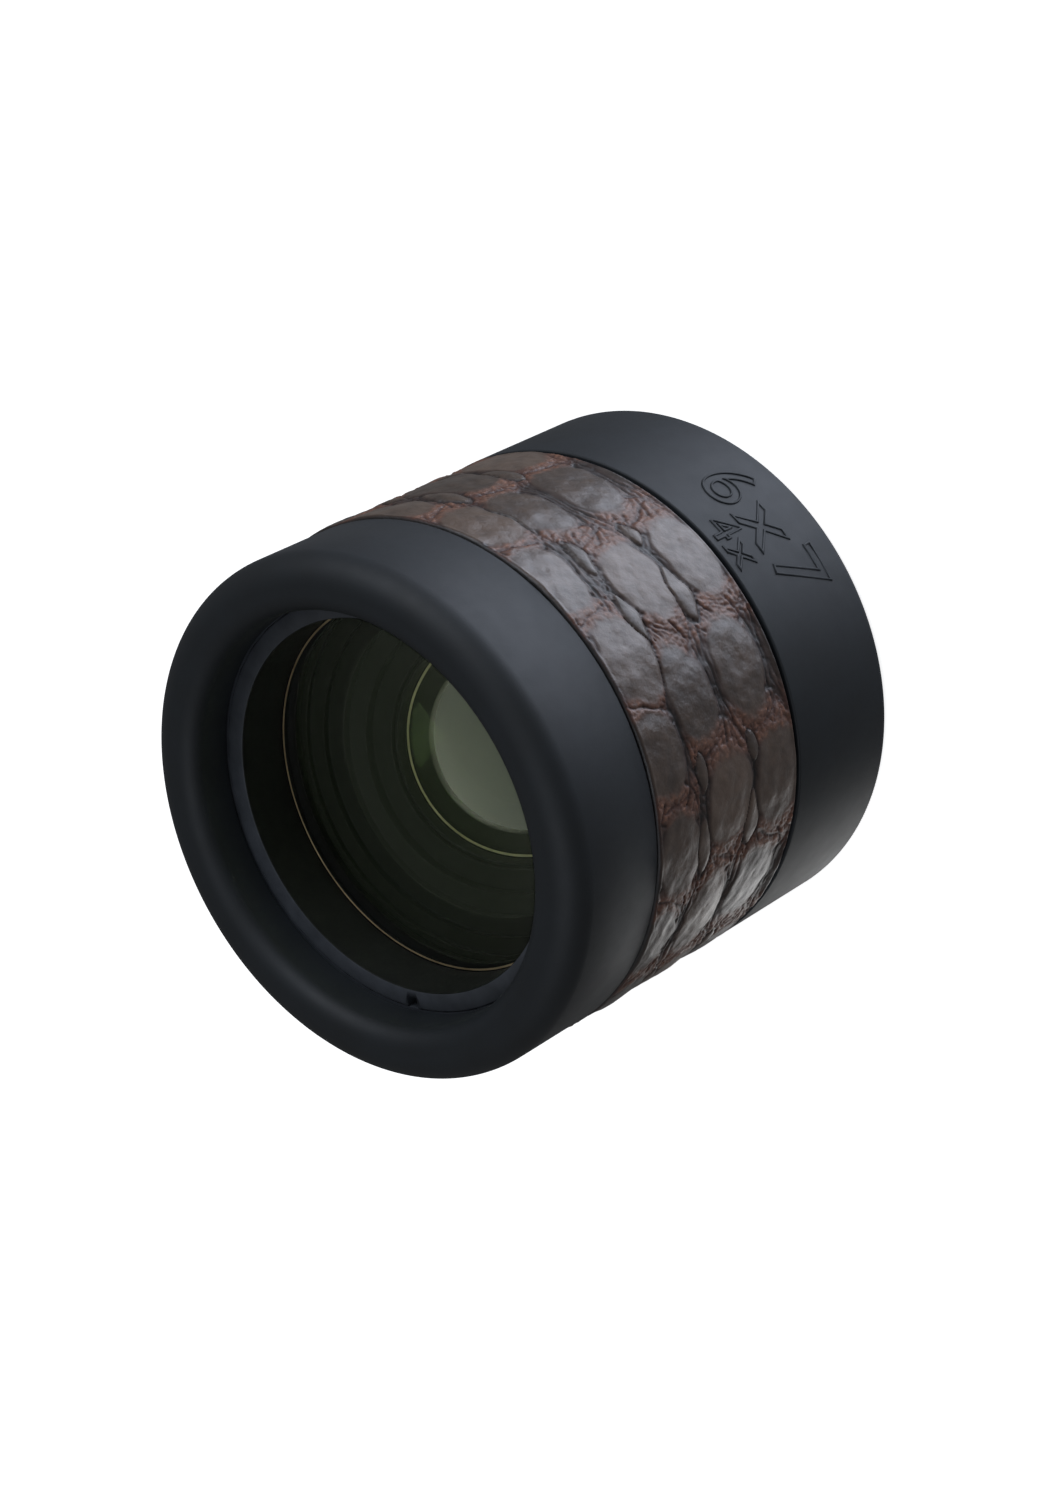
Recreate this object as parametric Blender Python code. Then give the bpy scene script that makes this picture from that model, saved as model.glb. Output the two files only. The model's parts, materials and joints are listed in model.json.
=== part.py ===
"""Viewing loupe: a focusing magnifier that stands upright on its open base.

The optical axis is +Z. The flat foot lies on Z = 0 and the eyecup is at the top.
Lengths below are in millimetres and MM turns them into metres.
Four bodies move against each other:
  barrel      guide tube, leather-covered sleeve
  focus ring  rubber eyecup, its metal core and the cam tube; turns about +Z
  lens cell   all the glass; slides along Z, driven by three followers in the cam slots
  base        push-fit open base that stays on the table; the barrel lifts off it
"""
import math

import bmesh
import bpy

MM = 0.001

# ---- driving dimensions ---------------------------------------------------------------
BODY_R = 35.0            # leather surface
HEIGHT = 65.0
BASE_TOP = 19.75         # top of the base band, below the groove under the leather
GRIP_BOTTOM = 20.25      # leather band
GRIP_TOP = 48.65
CUP_BOTTOM = 48.9        # rubber eyecup
CUP_R = 34.56
CUP_BORE_R = 27.3
LIP_OUTER_FILLET = 3.7
LIP_INNER_FILLET = 2.5
CUP_SHELF = 58.35        # the eyecup covers the end of the lens cell above this height

LENS_R = 26.0            # edge of the glass in the lens cell
MIDDLE_LENS_R = 13.2
CELL_BORE_R = 26.1
CELL_R = 28.0
CELL_BOTTOM = 15.6
CELL_TOP = 58.1
GUIDE_BORE_R = 28.15
GUIDE_R = 30.2
GUIDE_BOTTOM = 20.2
GUIDE_TOP = 56.3
CAM_BORE_R = 30.35
CAM_R = 31.8
CAM_BOTTOM = 30.6
CAM_TOP = 54.2
SLEEVE_BORE_R = 32.0
SLEEVE_R = 33.6
FLANGE_LOW, FLANGE_HIGH = 27.0, 30.0
CORE_R = 33.2
CORE_TOP = 57.4

SPIGOT_R = 31.7
SPIGOT_TOP = 26.6
BASE_WALL_R = 33.7
BASE_COVER_R = 34.85
FOOT_TOP = 1.55
FOOT_BORE_R = 27.2

FOCUS_TURN = 110.0       # degrees of eyecup rotation
FOCUS_TRAVEL = 5.0       # millimetres that the lens cell sinks over that turn
FOLLOWER_Z = 41.7        # follower height with the lens cell fully up
FOLLOWER_R = 1.1
SLOT_HALF = 1.3
THIRDS = (0.0, 120.0, 240.0)
FOLLOWER_AZIMUTH = 30.0
SCREW_AZIMUTH = 85.0

NOTCH_AZIMUTH = 150.0    # one spanner notch; the other is opposite
BUTT_SEAM_AZIMUTH = 90.0

OUTER_SIDES = 40
INNER_SIDES = 32
PIN_SIDES = 12


# ---- helpers --------------------------------------------------------------------------
def clear_scene():
    for old in list(bpy.data.objects):
        bpy.data.objects.remove(old, do_unlink=True)


def finish(name, colour, roughness, metallic=0.0):
    """One Principled material of its own for a piece."""
    material = bpy.data.materials.new(name)
    material.use_nodes = True
    shader = material.node_tree.nodes["Principled BSDF"]
    shader.inputs["Base Color"].default_value = (*colour, 1.0)
    shader.inputs["Roughness"].default_value = roughness
    shader.inputs["Metallic"].default_value = metallic
    return material


def black_rubber(name):
    return finish(name, (0.020, 0.024, 0.030), 0.55)


def black_anodised(name):
    return finish(name, (0.022, 0.022, 0.025), 0.40, 0.8)


def bare_aluminium(name):
    return finish(name, (0.62, 0.62, 0.63), 0.35, 1.0)


def steel(name):
    return finish(name, (0.50, 0.50, 0.52), 0.30, 1.0)


def brass(name):
    return finish(name, (0.60, 0.45, 0.20), 0.35, 1.0)


def optical_glass(name):
    return finish(name, (0.42, 0.50, 0.40), 0.03)


def body_empty(name):
    """Parent of one moving body, on the shared axis."""
    empty = bpy.data.objects.new(name, None)
    bpy.context.scene.collection.objects.link(empty)
    return empty


def piece_from(bm, name, material, parent=None):
    """Turn a bmesh in millimetres into a shaded, parented object in metres."""
    bmesh.ops.recalc_face_normals(bm, faces=bm.faces)
    bmesh.ops.scale(bm, vec=(MM, MM, MM), verts=bm.verts)
    mesh = bpy.data.meshes.new(name)
    bm.to_mesh(mesh)
    bm.free()
    mesh.shade_smooth()
    mesh.set_sharp_from_angle(angle=math.radians(30))
    if material:
        mesh.materials.append(material)
    piece = bpy.data.objects.new(name, mesh)
    piece.parent = parent
    bpy.context.scene.collection.objects.link(piece)
    return piece


def around(radius, azimuth, z):
    """Point at a radius and an azimuth in degrees."""
    angle = math.radians(azimuth)
    return (radius * math.cos(angle), radius * math.sin(angle), z)


def arc(centre_r, centre_z, radius, start, end, steps):
    """Points of a round stretch of an outline, angles in degrees from outward."""
    points = []
    for i in range(steps + 1):
        angle = math.radians(start + (end - start) * i / steps)
        points.append((centre_r + radius * math.cos(angle), centre_z + radius * math.sin(angle)))
    return points


def ring_outline(r_in, r_out, low, high):
    return [(r_in, low), (r_out, low), (r_out, high), (r_in, high)]


def turned(name, outline, material, parent=None, sides=OUTER_SIDES, gap=0.0, gap_azimuth=0.0):
    """Spin an outline of (radius, height) about the axis.

    A closed outline off the axis gives a ring, which a gap in degrees makes a C.
    An outline whose ends lie on the axis gives a disc.
    """
    bm = bmesh.new()
    on_axis = outline[0][0] == 0.0
    sweep = 360.0 - gap
    stations = sides + 1 if gap else sides
    columns = []
    for k in range(stations):
        azimuth = gap_azimuth + gap / 2 + sweep * k / sides
        first = 1 if on_axis else 0
        last = len(outline) - first
        columns.append([bm.verts.new(around(r, azimuth, z)) for r, z in outline[first:last]])
    pairs = [(columns[k], columns[(k + 1) % stations]) for k in range(sides)]
    for left, right in pairs:
        count = len(left)
        joins = count - 1 if on_axis else count
        for i in range(joins):
            j = (i + 1) % count
            bm.faces.new((left[i], right[i], right[j], left[j]))
    if gap:
        bm.faces.new(columns[0])
        bm.faces.new(columns[-1])
    if on_axis:
        for row, z in ((0, outline[0][1]), (-1, outline[-1][1])):
            pole = bm.verts.new((0.0, 0.0, z))
            for left, right in pairs:
                bm.faces.new((left[row], right[row], pole))
    return piece_from(bm, name, material, parent)


def radial_rod(name, radius, r_in, r_out, azimuth, z, material=None, parent=None):
    """Round rod lying along a radius, as its own object turned and lifted into place."""
    bm = bmesh.new()
    rings = []
    for x in (r_in, r_out):
        ring = []
        for k in range(PIN_SIDES):
            angle = math.tau * k / PIN_SIDES
            ring.append(bm.verts.new((x, radius * math.cos(angle), radius * math.sin(angle))))
        rings.append(ring)
    for k in range(PIN_SIDES):
        after = (k + 1) % PIN_SIDES
        bm.faces.new((rings[0][k], rings[0][after], rings[1][after], rings[1][k]))
    bm.faces.new(rings[0])
    bm.faces.new(rings[1])
    rod = piece_from(bm, name, material, parent)
    rod.rotation_euler[2] = math.radians(azimuth)
    rod.location[2] = z * MM
    return rod


def slot_cutter(name, azimuth_a, z_a, azimuth_b, z_b, r_in, r_out):
    """Wedge that mills one slot with round ends along a straight or helical path."""
    mean_r = (r_in + r_out) / 2
    run = math.radians(azimuth_b - azimuth_a) * mean_r
    rise = z_b - z_a
    length = math.hypot(run, rise)
    steps = max(2, round(abs(azimuth_b - azimuth_a) / 5))
    ends = [SLOT_HALF * math.cos(math.radians(a)) for a in (20, 50, 75)]
    stations = [-e for e in ends]
    stations += [length * i / steps for i in range(steps + 1)]
    stations += [length + e for e in reversed(ends)]
    bm = bmesh.new()
    sections = []
    for s in stations:
        over = max(-s, s - length, 0.0)
        half = math.sqrt(SLOT_HALF ** 2 - over ** 2)
        section = []
        for side, radius in ((-1, r_in), (-1, r_out), (1, r_out), (1, r_in)):
            along = (run * s - side * rise * half) / length
            z = z_a + (rise * s + side * run * half) / length
            section.append(bm.verts.new(around(radius, azimuth_a + math.degrees(along / mean_r), z)))
        sections.append(section)
    for one, two in zip(sections, sections[1:]):
        for i in range(4):
            j = (i + 1) % 4
            bm.faces.new((one[i], two[i], two[j], one[j]))
    bm.faces.new(sections[0])
    bm.faces.new(sections[-1])
    return piece_from(bm, name, None)


def cut(piece, cutter):
    """Boolean difference; the cutter stays as a hidden wire guide."""
    cutter.hide_render = True
    cutter.display_type = 'WIRE'
    modifier = piece.modifiers.new(cutter.name, 'BOOLEAN')
    modifier.operation = 'DIFFERENCE'
    modifier.solver = 'EXACT'
    modifier.object = cutter


def sphere_face(vertex_z, curve_r, edge_r, steps=3):
    """Points from the axis to the edge of a lens face; a positive curve_r bulges upwards."""
    points = []
    for i in range(steps + 1):
        r = edge_r * i / steps
        sag = abs(curve_r) - math.sqrt(curve_r ** 2 - r ** 2)
        points.append((r, vertex_z - math.copysign(sag, curve_r)))
    return points


def lens(name, top, bottom, edge_r, parent):
    """Glass disc between two spherical faces, each given as (vertex height, curve radius)."""
    upper = sphere_face(*top, edge_r)
    lower = sphere_face(*bottom, edge_r)
    return turned(name, upper + lower[::-1], optical_glass(name), parent, INNER_SIDES)


def screws(name, radius, r_in, r_out, z, hosts, parent):
    """Three radial grub screws, and their clearance holes in the host pieces."""
    for i, third in enumerate(THIRDS):
        azimuth = SCREW_AZIMUTH + third
        radial_rod(f"{name}_{i + 1}", radius, r_in, r_out, azimuth, z, steel(f"{name}_{i + 1}"), parent)
        for host in hosts:
            hole = radial_rod(f"{host.name}_hole_{i + 1}", radius + 0.1, r_in - 0.1, BODY_R + 1, azimuth, z)
            cut(host, hole)


# ---- barrel ---------------------------------------------------------------------------
def make_guide_tube():
    """Bearing tube for the lens cell, with straight slots, a rear flange and a clip groove."""
    clip_groove_low, clip_groove_high, groove_r = 54.3, 55.4, 29.4
    outline = [
        (GUIDE_BORE_R, GUIDE_BOTTOM), (GUIDE_R, GUIDE_BOTTOM),
        (GUIDE_R, FLANGE_LOW), (SLEEVE_BORE_R - 0.15, FLANGE_LOW),
        (SLEEVE_BORE_R - 0.15, FLANGE_HIGH), (GUIDE_R, FLANGE_HIGH),
        (GUIDE_R, clip_groove_low), (groove_r, clip_groove_low),
        (groove_r, clip_groove_high), (GUIDE_R, clip_groove_high),
        (GUIDE_R, GUIDE_TOP), (GUIDE_BORE_R, GUIDE_TOP),
    ]
    tube = turned("guide_tube", outline, black_anodised("guide_tube"))
    for i, third in enumerate(THIRDS):
        azimuth = FOLLOWER_AZIMUTH + third
        cutter = slot_cutter(f"guide_slot_{i + 1}", azimuth, FOLLOWER_Z - FOCUS_TRAVEL, azimuth, FOLLOWER_Z,
                             GUIDE_BORE_R - 1, GUIDE_R + 1)
        cut(tube, cutter)
    return tube


def make_barrel():
    tube = make_guide_tube()
    sleeve = turned("barrel_sleeve", ring_outline(SLEEVE_BORE_R, SLEEVE_R, GRIP_BOTTOM + 0.1, GRIP_TOP - 0.1),
                    bare_aluminium("barrel_sleeve"))
    screws("sleeve_screw", 0.8, SLEEVE_BORE_R - 1.2, SLEEVE_R - 0.05, (FLANGE_LOW + FLANGE_HIGH) / 2,
           (tube, sleeve), None)
    seam_width = math.degrees(0.3 / BODY_R)
    turned("leather_wrap", ring_outline(SLEEVE_R + 0.1, BODY_R, GRIP_BOTTOM, GRIP_TOP),
           finish("leather_wrap", (0.10, 0.065, 0.045), 0.45), gap=seam_width, gap_azimuth=BUTT_SEAM_AZIMUTH)
    turned("retaining_clip", ring_outline(29.55, 31.3, 54.45, 55.25), steel("retaining_clip"),
           gap=20.0, gap_azimuth=SCREW_AZIMUTH)
    turned("damping_washer", ring_outline(CAM_BORE_R, CAM_R, FLANGE_HIGH + 0.1, CAM_BOTTOM - 0.1),
           finish("damping_washer", (0.85, 0.84, 0.80), 0.5))


# ---- focus ring -----------------------------------------------------------------------
def make_eyecup(parent):
    """Soft grip with a thick rounded lip around the eye lens."""
    lip_outer_r = CUP_R - LIP_OUTER_FILLET
    lip_inner_r = CUP_BORE_R + LIP_INNER_FILLET
    outline = [(CORE_R + 0.1, CUP_BOTTOM), (CUP_R, CUP_BOTTOM)]
    outline += arc(lip_outer_r, HEIGHT - LIP_OUTER_FILLET, LIP_OUTER_FILLET, 0, 90, 6)
    outline += arc(lip_inner_r, HEIGHT - LIP_INNER_FILLET, LIP_INNER_FILLET, 90, 180, 5)
    outline += [
        (CUP_BORE_R, CUP_SHELF), (CELL_R + 0.3, CUP_SHELF),
        (CELL_R + 0.3, CORE_TOP + 0.1), (CORE_R + 0.1, CORE_TOP + 0.1),
    ]
    turned("eyecup", outline, black_rubber("eyecup"), parent)


def make_focus_ring():
    parent = body_empty("focus_axis")
    make_eyecup(parent)
    core_bore_r = CAM_R + 0.15
    shelf = GUIDE_TOP + 0.2
    core = turned("focus_core", [
        (core_bore_r, CUP_BOTTOM), (CORE_R, CUP_BOTTOM), (CORE_R, CORE_TOP),
        (CELL_R + 0.3, CORE_TOP), (CELL_R + 0.3, shelf), (core_bore_r, shelf),
    ], bare_aluminium("focus_core"), parent)
    cam = turned("cam_tube", ring_outline(CAM_BORE_R, CAM_R, CAM_BOTTOM, CAM_TOP),
                 black_anodised("cam_tube"), parent)
    for i, third in enumerate(THIRDS):
        start = FOLLOWER_AZIMUTH + third
        cutter = slot_cutter(f"cam_slot_{i + 1}", start, FOLLOWER_Z, start - FOCUS_TURN,
                             FOLLOWER_Z - FOCUS_TRAVEL, CAM_BORE_R - 0.1, CAM_R + 1)
        cut(cam, cutter)
    screws("cam_screw", 0.8, CAM_BORE_R + 0.2, CORE_R - 0.1, 51.5, (core, cam), parent)


# ---- lens cell ------------------------------------------------------------------------
def make_eye_ring(parent):
    """Threaded ring over the eye lens, with two spanner notches in its outer edge."""
    top = CELL_TOP + 0.1
    ring = turned("eye_retaining_ring", ring_outline(24.7, CUP_BORE_R - 0.1, 50.8, top),
                  black_anodised("eye_retaining_ring"), parent)
    half_width, depth, inner = 0.8, 1.3, 25.7
    for i in range(2):
        bm = bmesh.new()
        bmesh.ops.create_cube(bm, size=1.0)
        bmesh.ops.scale(bm, vec=(3.0, 2 * half_width, 2 * depth), verts=bm.verts)
        bmesh.ops.translate(bm, vec=(inner + 1.5, 0.0, top), verts=bm.verts)
        notch = piece_from(bm, f"spanner_notch_{i + 1}", None)
        notch.rotation_euler[2] = math.radians(NOTCH_AZIMUTH + 180 * i)
        cut(ring, notch)


def make_middle_mount(parent):
    """Mount of the middle lens, whose upper side steps outwards as a light baffle."""
    low, web_low, seat, high = 31.0, 32.0, 33.1, 40.5
    skirt_r, seat_r, ledge_r = 24.1, MIDDLE_LENS_R + 0.15, 10.6
    steps, tread, riser = 4, 2.4, 1.175
    outline = [(skirt_r, low), (LENS_R, low), (LENS_R, high)]
    edge = seat_r + steps * tread
    for i in range(steps):
        outline += [(edge - tread * i, high - riser * i), (edge - tread * i, high - riser * (i + 1))]
    outline += [(seat_r, high - riser * steps), (seat_r, seat), (ledge_r, seat), (ledge_r, web_low),
                (skirt_r, web_low)]
    turned("middle_mount", outline, black_anodised("middle_mount"), parent, INNER_SIDES)


def make_lens_cell():
    parent = body_empty("lens_axis")
    counterbore_r, counterbore_z = CUP_BORE_R, 50.7
    tube = turned("cell_tube", [
        (CELL_BORE_R, CELL_BOTTOM), (CELL_R, CELL_BOTTOM), (CELL_R, CELL_TOP),
        (counterbore_r, CELL_TOP), (counterbore_r, counterbore_z), (CELL_BORE_R, counterbore_z),
    ], black_anodised("cell_tube"), parent)
    for i, third in enumerate(THIRDS):
        azimuth = FOLLOWER_AZIMUTH + third
        name = f"cam_follower_{i + 1}"
        radial_rod(name, FOLLOWER_R, LENS_R + 0.15, CAM_R - 0.1, azimuth, FOLLOWER_Z,
                   brass(name), parent)
        cut(tube, radial_rod(f"follower_hole_{i + 1}", FOLLOWER_R + 0.1, LENS_R - 1, CELL_R + 1,
                             azimuth, FOLLOWER_Z))

    make_eye_ring(parent)
    cement = 0.1
    lens("eye_lens_front", (54.8, 75.0), (43.92 + cement, -80.0), LENS_R, parent)
    lens("eye_lens_rear", (43.92, -80.0), (41.8, -200.0), LENS_R, parent)
    turned("spacer_front", ring_outline(24.0, LENS_R, 40.6, 42.95), black_anodised("spacer_front"),
           parent, INNER_SIDES)
    make_middle_mount(parent)
    lens("middle_lens", (35.7, 60.0), (32.2, -60.0), MIDDLE_LENS_R, parent)
    turned("middle_retaining_ring", ring_outline(MIDDLE_LENS_R - 0.3, MIDDLE_LENS_R + 0.05, 34.45, 35.45),
           black_anodised("middle_retaining_ring"), parent, INNER_SIDES)
    turned("spacer_rear", ring_outline(24.1, LENS_R, 29.25, 30.9), black_anodised("spacer_rear"),
           parent, INNER_SIDES)
    lens("field_lens_front", (26.9, -150.0), (25.6 + cement, 65.0), LENS_R, parent)
    lens("field_lens_rear", (25.6, 65.0), (16.6, -120.0), LENS_R, parent)
    turned("field_retaining_ring", ring_outline(22.6, LENS_R, CELL_BOTTOM + 0.2, 18.6),
           black_anodised("field_retaining_ring"), parent, INNER_SIDES)


# ---- base -----------------------------------------------------------------------------
def make_base_ring(parent):
    """Metal wall of the base, with the O-ring spigot that plugs into the barrel."""
    spigot_bore_r, groove_r = CAM_BORE_R + 0.05, 31.0
    groove_low, groove_high = 22.8, 24.4
    shelf_low = 17.5
    outline = [
        (31.9, FOOT_TOP + 0.15), (BASE_WALL_R, FOOT_TOP + 0.15), (BASE_WALL_R, BASE_TOP),
        (SPIGOT_R, BASE_TOP), (SPIGOT_R, groove_low), (groove_r, groove_low),
        (groove_r, groove_high), (SPIGOT_R, groove_high), (SPIGOT_R, SPIGOT_TOP),
        (spigot_bore_r, SPIGOT_TOP), (spigot_bore_r, shelf_low), (31.9, shelf_low),
    ]
    turned("base_ring", outline, bare_aluminium("base_ring"), parent)
    section_r = 0.38
    o_ring = arc(SPIGOT_R + 0.15 - section_r, (groove_low + groove_high) / 2, section_r, 0, 315, 7)
    turned("base_o_ring", o_ring, black_rubber("base_o_ring"), parent)


def make_base_skirt(parent):
    """Inner liner whose V grooves trap stray light; a thicker lip frames the view."""
    low, high = FOOT_TOP + 0.15, 17.3
    outer_r, land_r, groove_r, lip_r = 31.75, 28.5, 29.5, FOOT_BORE_R
    lip_top, pitch, grooves = 4.2, 2.2, 5
    outline = [(lip_r, low), (outer_r, low), (outer_r, high), (land_r, high)]
    first = high - 0.8
    for i in range(grooves):
        z = first - pitch * i
        outline += [(land_r, z), (groove_r, z - pitch / 2)]
    outline += [(land_r, first - pitch * grooves), (land_r, lip_top), (lip_r, lip_top)]
    turned("base_skirt", outline, finish("base_skirt", (0.02, 0.02, 0.02), 0.8), parent)


def make_base():
    parent = body_empty("base_axis")
    make_base_ring(parent)
    make_base_skirt(parent)
    edge = 1.2
    cover_low = 0.1
    outline = [(BASE_WALL_R + 0.1, BASE_TOP), (BASE_WALL_R + 0.1, cover_low + 0.3)]
    outline += arc(BASE_COVER_R - edge, cover_low + edge, edge, 0, -72, 4)[::-1]
    outline += [(BASE_COVER_R, BASE_TOP)]
    turned("base_cover", outline, black_rubber("base_cover"), parent)
    turned("foot_ring", ring_outline(FOOT_BORE_R, BASE_WALL_R - 0.1, 0.0, FOOT_TOP),
           finish("foot_ring", (0.025, 0.025, 0.027), 0.6), parent)


clear_scene()
make_barrel()
make_focus_ring()
make_lens_cell()
make_base()
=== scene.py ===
"""Looks of the viewing loupe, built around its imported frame.

The loupe stands upright: optical axis +Z, foot on Z = 0, eyecup on top.
Lengths in the text of this script are millimetres; MM turns them into metres.
"""
import json
import math

import bmesh
import bpy
import numpy as np
from mathutils import Matrix, Vector


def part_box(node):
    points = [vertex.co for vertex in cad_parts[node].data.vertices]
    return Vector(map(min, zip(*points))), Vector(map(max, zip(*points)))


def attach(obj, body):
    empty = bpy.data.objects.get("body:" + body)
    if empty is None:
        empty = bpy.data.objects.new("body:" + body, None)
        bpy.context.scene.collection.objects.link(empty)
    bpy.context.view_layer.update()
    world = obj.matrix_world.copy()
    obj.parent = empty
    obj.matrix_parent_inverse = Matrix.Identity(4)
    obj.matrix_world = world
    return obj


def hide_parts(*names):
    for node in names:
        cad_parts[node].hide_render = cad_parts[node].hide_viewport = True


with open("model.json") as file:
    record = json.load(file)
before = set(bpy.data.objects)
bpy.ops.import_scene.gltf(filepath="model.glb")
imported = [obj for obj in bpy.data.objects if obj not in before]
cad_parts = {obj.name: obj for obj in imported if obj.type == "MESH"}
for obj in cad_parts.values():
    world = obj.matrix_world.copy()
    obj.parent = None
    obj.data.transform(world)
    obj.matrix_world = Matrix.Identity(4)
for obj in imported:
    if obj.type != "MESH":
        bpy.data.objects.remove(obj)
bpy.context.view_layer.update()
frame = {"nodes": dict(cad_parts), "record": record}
scene = bpy.context.scene
MM = 0.001

BODY_OF = {}
for body, members in frame["record"]["behaviour"]["bodies"].items():
    for member in members:
        BODY_OF[member] = body

ROUND_SIDES = 240        # facets of a turned piece that shows
FINE_SIDES = 160         # facets of the lenses and the smaller turned pieces
EDGE_BREAK = 0.12        # small radius on machined and moulded edges


def levels(node):
    """Outer radius, lowest and highest height of a turned CAD node, in millimetres."""
    low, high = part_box(node)
    return high.x / MM, low.z / MM, high.z / MM


LEATHER_R, LEATHER_LOW, LEATHER_HIGH = levels("leather_wrap")
CUP_R, CUP_LOW, CUP_HIGH = levels("eyecup")
COVER_R, COVER_LOW, COVER_HIGH = levels("base_cover")
RING_R, RING_LOW, RING_HIGH = levels("eye_retaining_ring")
SLEEVE_R = levels("barrel_sleeve")[0]
CORE_R, _, CORE_HIGH = levels("focus_core")
CELL_R, _, CELL_HIGH = levels("cell_tube")
LENS_R = levels("eye_lens_front")[0]


# ---- camera ---------------------------------------------------------------------------
VIEW_ELEVATION = 44.5    # degrees above the horizon, from the -Y side
VIEW_DISTANCE = 476.0
VIEW_ROLL = -118.05      # the loupe's axis runs down to the lower left of the view
VIEW_AIM = Vector((-1.5, 0.0, 32.7))
FOCAL_LENGTH = 89.0
SENSOR = 36.0


def view_frame():
    """Unit vectors that point right, up and back in the view."""
    back = Vector((0.0, -math.cos(math.radians(VIEW_ELEVATION)), math.sin(math.radians(VIEW_ELEVATION))))
    level_right = Vector((0, 0, 1)).cross(back).normalized()
    level_up = back.cross(level_right)
    roll = math.radians(VIEW_ROLL)
    right = level_right * math.cos(roll) + level_up * math.sin(roll)
    return right, back.cross(right), back


VIEW_RIGHT, VIEW_UP, VIEW_BACK = view_frame()


def add_camera():
    """Camera that looks down into the eye end, with the loupe lying over on its side."""
    data = bpy.data.cameras.new("camera")
    data.lens = FOCAL_LENGTH
    data.sensor_width = SENSOR
    data.clip_start = 0.01
    camera = bpy.data.objects.new("camera", data)
    scene.collection.objects.link(camera)
    turn = Matrix((VIEW_RIGHT, VIEW_UP, VIEW_BACK)).transposed().to_4x4()
    camera.matrix_world = Matrix.Translation((VIEW_AIM + VIEW_BACK * VIEW_DISTANCE) * MM) @ turn
    scene.camera = camera


# ---- materials ------------------------------------------------------------------------
def srgb(code):
    """Linear RGBA of an sRGB hex colour."""
    channels = [int(code[i:i + 2], 16) / 255 for i in (1, 3, 5)]
    linear = [c / 12.92 if c <= 0.04045 else ((c + 0.055) / 1.055) ** 2.4 for c in channels]
    return (*linear, 1.0)


def add_node(tree, kind, inputs=None, stops=None, **settings):
    """Add one shader node; each input is a value or the socket that feeds it, stops fill a colour ramp."""
    made = tree.nodes.new(kind)
    for name, value in settings.items():
        setattr(made, name, value)
    for key, value in (inputs or {}).items():
        if isinstance(value, bpy.types.NodeSocket):
            tree.links.new(value, made.inputs[key])
        else:
            made.inputs[key].default_value = value
    for i, (position, code) in enumerate(stops or []):
        elements = made.color_ramp.elements
        element = elements[i] if i < len(elements) else elements.new(position)
        element.position = position
        element.color = srgb(code)
    return made


def new_material(name, inputs=None):
    """A material with its node tree and Principled shader."""
    material = bpy.data.materials.new(name)
    material.use_nodes = True
    tree = material.node_tree
    shader = tree.nodes["Principled BSDF"]
    for key, value in (inputs or {}).items():
        shader.inputs[key].default_value = value
    return material, tree, shader


def worked_material(name, inputs, tones, tone_size, gloss, gloss_size, bump=None):
    """Material whose colour wanders between two tones and whose roughness wanders over a range.

    Sizes are those of the lumps in millimetres; bump is (lump size, height, strength).
    """
    material, tree, shader = new_material(name, inputs)
    place = add_node(tree, "ShaderNodeTexCoord").outputs["Object"]
    patches = add_node(tree, "ShaderNodeTexNoise", {
        "Vector": place, "Scale": 1 / (tone_size * MM), "Detail": 4.0, "Roughness": 0.6,
    })
    tone = add_node(tree, "ShaderNodeValToRGB", {"Fac": patches.outputs["Fac"]},
                    stops=[(0.3, tones[0]), (0.7, tones[1])])
    tree.links.new(tone.outputs["Color"], shader.inputs["Base Color"])
    wear = add_node(tree, "ShaderNodeTexNoise", {
        "Vector": place, "Scale": 1 / (gloss_size * MM), "Detail": 4.0, "Roughness": 0.6,
    })
    rough = add_node(tree, "ShaderNodeMapRange", {
        "Value": wear.outputs["Fac"], "To Min": gloss[0], "To Max": gloss[1],
    })
    tree.links.new(rough.outputs["Result"], shader.inputs["Roughness"])
    if bump:
        size, height, strength = bump
        lumps = add_node(tree, "ShaderNodeTexNoise", {
            "Vector": place, "Scale": 1 / (size * MM), "Detail": 2.0, "Roughness": 0.6,
        })
        raised = add_node(tree, "ShaderNodeBump", {
            "Height": lumps.outputs["Fac"], "Distance": height * MM, "Strength": strength,
        })
        tree.links.new(raised.outputs["Normal"], shader.inputs["Normal"])
    return material, tree, shader


def soft_touch_rubber():
    """Moulded rubber with a soft-touch skin: near black, broad blurred highlights, faint mould grain."""
    return worked_material("soft_touch_rubber", {"IOR": 1.5}, ("#11161a", "#151b20"), 6.0,
                           (0.55, 0.66), 2.5, (0.25, 0.02, 0.35))[0]


def black_anodised():
    """Bead-blasted aluminium anodised black: a satin grey glint on near black."""
    return worked_material("black_anodised_aluminium", {"Metallic": 0.2}, ("#3a3e43", "#484c52"), 3.0,
                           (0.38, 0.5), 0.8, (0.12, 0.01, 0.3))[0]


def baffle_black():
    """Matt black optical paint inside the cell: swallows light, faintly green-grey where it is grazed."""
    return worked_material("matt_optical_black", {"IOR": 1.45, "Specular IOR Level": 0.3},
                           ("#090b09", "#10130f"), 1.5, (0.5, 0.68), 0.6)[0]


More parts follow.
